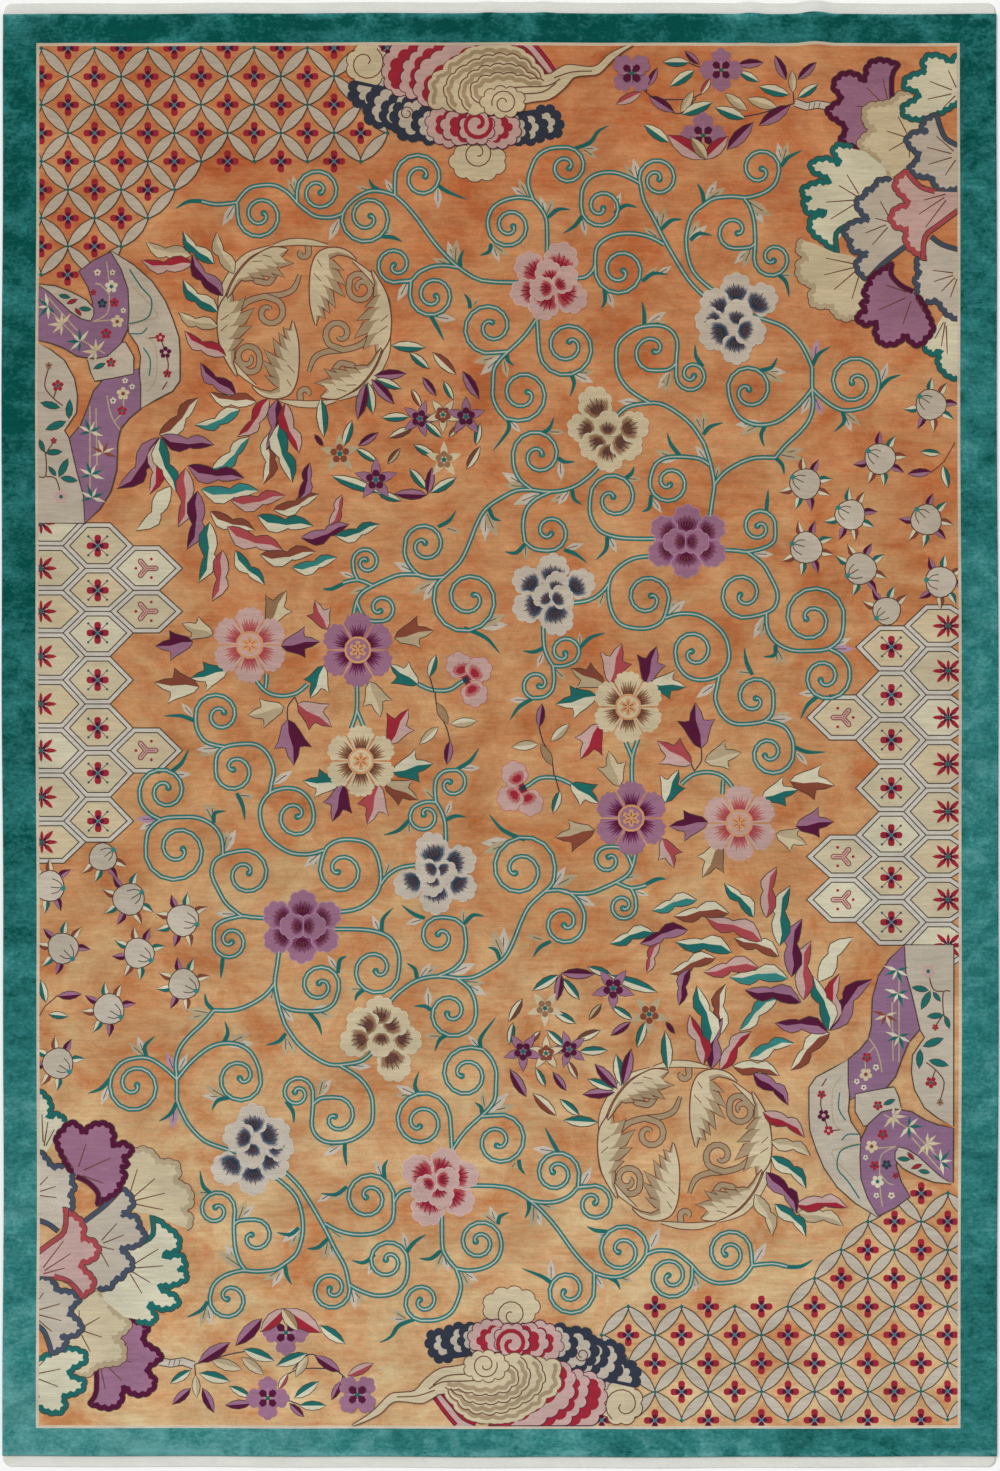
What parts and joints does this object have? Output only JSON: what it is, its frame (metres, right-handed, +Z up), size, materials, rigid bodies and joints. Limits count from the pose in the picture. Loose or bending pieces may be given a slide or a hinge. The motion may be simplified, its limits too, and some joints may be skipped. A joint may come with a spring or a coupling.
{
  "type": "chinese art deco rug",
  "caption": "Large hand-knotted wool rug with a plain border, lattice corners, scrolling vines and flowers, lying flat on the floor between two narrow flat-woven ends.",
  "frame": {"origin": "middle of the underside, on the floor", "axes": "+X across the rug, +Y along it towards the head end, which is the top of the picture, and +Z up through the pile"},
  "size_m": [2.7411, 4.0324, 0.022],
  "materials": {
    "field_wool": "apricot cut wool pile, matt with a soft sheen",
    "border_wool": "sea-green cut wool pile with light and dark nap marks",
    "motif_wool": "cut wool pile in many dyes: ivory, sea green, plum, lilac, rose, tan and ink",
    "web_cotton": "undyed flat-woven cotton"
  },
  "bodies": {
    "root": {"pile_carpet": "field_wool", "end_web_head": "web_cotton", "end_web_foot": "web_cotton"}
  },
  "joints": []
}
